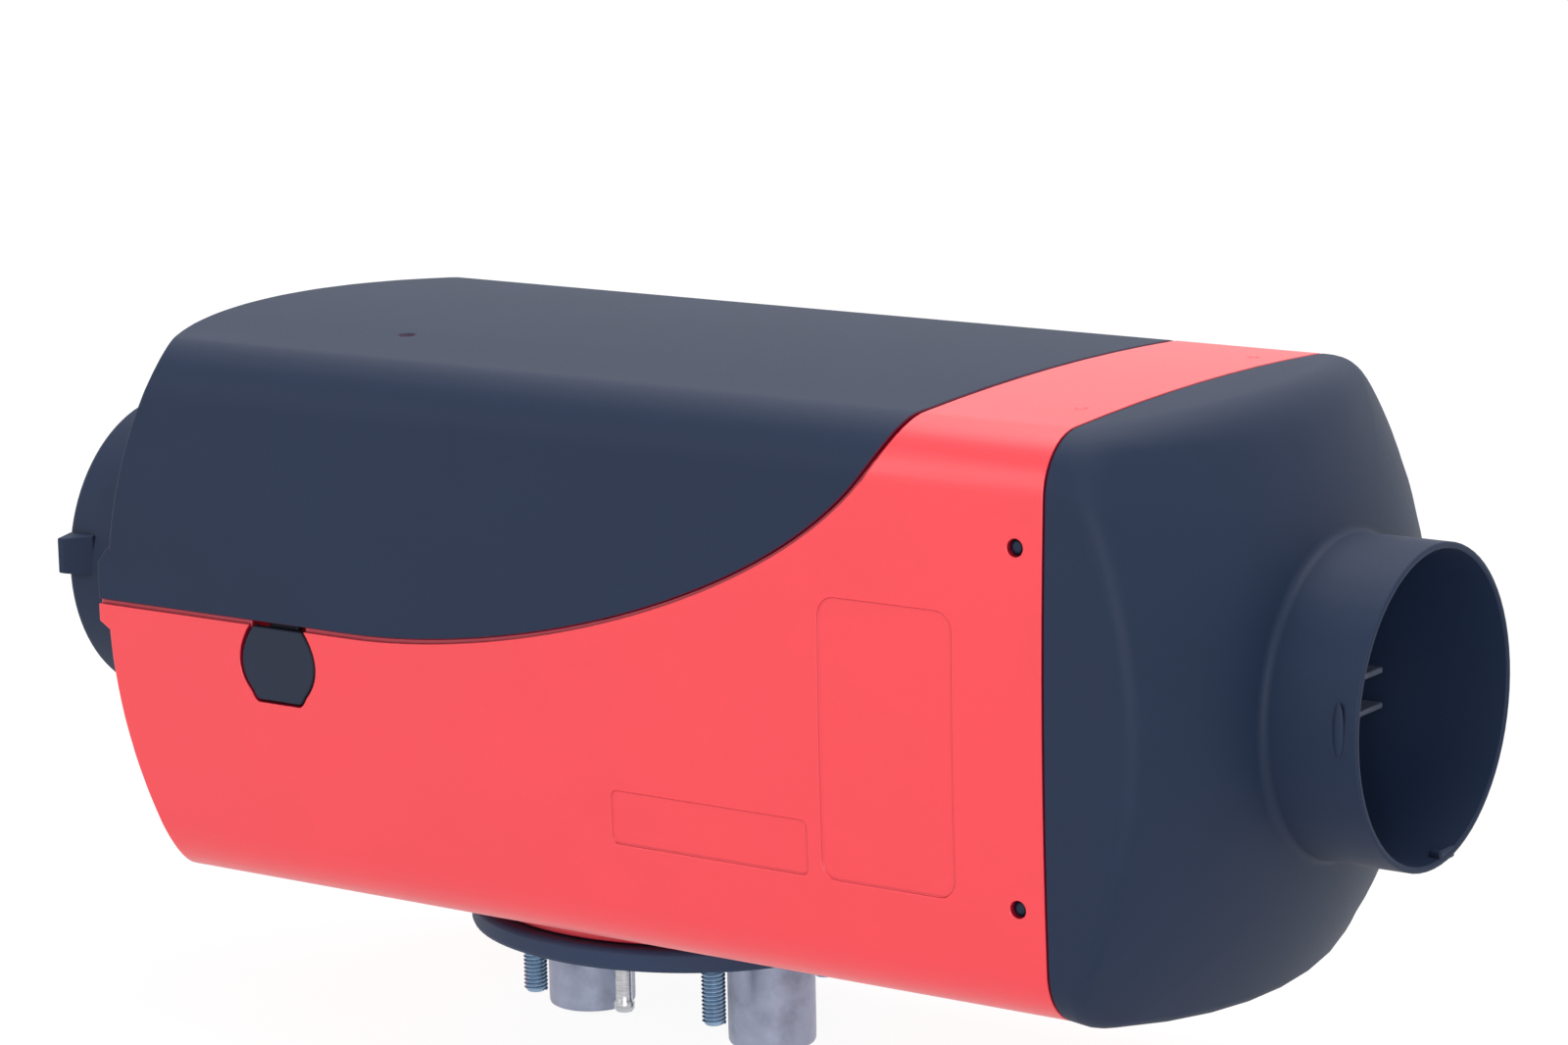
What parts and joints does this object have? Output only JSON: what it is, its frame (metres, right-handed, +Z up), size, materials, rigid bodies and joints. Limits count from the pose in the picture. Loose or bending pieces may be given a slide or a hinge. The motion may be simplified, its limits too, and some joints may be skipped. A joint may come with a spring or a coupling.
{
  "type": "diesel air heater",
  "caption": "Diesel air heater with a lift-off cover, latches, finned burner, blower rotor, round warm-air outlet, grilled intake and fuel, air and exhaust stubs on its base flange.",
  "frame": {"origin": "middle of the flange gasket's underside, between the two pipe stubs", "axes": "+X along the air axis towards the warm-air outlet, +Z up, the air axis 80 mm above the origin"},
  "size_m": [0.3776, 0.1398, 0.1768],
  "materials": {
    "navy_plastic": "fine-grained matt moulding",
    "red_plastic": "fine-grained matt moulding",
    "latch_plastic": "fine-grained matt moulding",
    "cast_aluminium": "as cast, faintly grainy",
    "turned_aluminium": "machined",
    "gasket_rubber": "dull",
    "zinc_steel": "zinc plated",
    "bright_steel": "satin",
    "heat_steel": "heat-tinted stainless",
    "sheet_gasket": "pressed fibre",
    "black_plastic": "glass-filled moulding",
    "magnet": "sintered ferrite",
    "laminations": "stacked sheet",
    "board": "solder mask"
  },
  "bodies": {
    "casing": {"lower_shell": "red_plastic", "outlet_hood": "navy_plastic", "inlet_hood": "navy_plastic", "intake_grille": "navy_plastic", "heat_exchanger": "cast_aluminium", "flange_gasket": "gasket_rubber", "mounting_stud_1": "zinc_steel", "mounting_stud_2": "zinc_steel", "mounting_stud_3": "zinc_steel", "mounting_stud_4": "zinc_steel", "burner_gasket": "sheet_gasket", "burner_tube": "heat_steel", "glow_plug": "bright_steel", "glow_plug_screen": "heat_steel", "fuel_tube": "bright_steel", "overheat_sensor": "black_plastic", "sensor_clip": "bright_steel", "blower_housing": "cast_aluminium", "blower_cover": "cast_aluminium", "blower_screw_1": "zinc_steel", "blower_screw_2": "zinc_steel", "blower_screw_3": "zinc_steel", "blower_screw_4": "zinc_steel", "motor_housing": "zinc_steel", "motor_magnets": "magnet", "front_bearing": "bright_steel", "rear_bearing": "bright_steel", "control_case": "black_plastic", "control_lid": "black_plastic", "control_board": "board", "cable_grommet": "gasket_rubber"},
    "cover": {"upper_cover": "navy_plastic"},
    "rotor": {"combustion_wheel": "turned_aluminium", "motor_armature": "laminations", "motor_shaft": "bright_steel", "hot_air_impeller": "black_plastic", "impeller_nut": "zinc_steel"},
    "front_latch_body": {"front_latch": "latch_plastic"},
    "rear_latch_body": {"rear_latch": "latch_plastic"}
  },
  "joints": [
    {"name": "cover_lift", "type": "slide", "parent": "casing", "child": "cover", "axis": [0, 0, 1], "range_m": [0, 0.08]},
    {"name": "rotor_spin", "type": "hinge", "parent": "casing", "child": "rotor", "pos_m": [-0.1, 0, 0.08], "axis": [1, 0, 0], "continuous": true},
    {"name": "front_latch_press", "type": "hinge", "parent": "casing", "child": "front_latch_body", "pos_m": [-0.069, -0.0667, 0.0642], "axis": [-1, 0, 0], "range_deg": [0, 6], "stiffness_Nm_per_rad": 0.8, "springref_deg": -1.72},
    {"name": "rear_latch_press", "type": "hinge", "parent": "casing", "child": "rear_latch_body", "pos_m": [-0.069, 0.0667, 0.0642], "axis": [1, 0, 0], "range_deg": [0, 6], "stiffness_Nm_per_rad": 0.8, "springref_deg": -1.72}
  ]
}
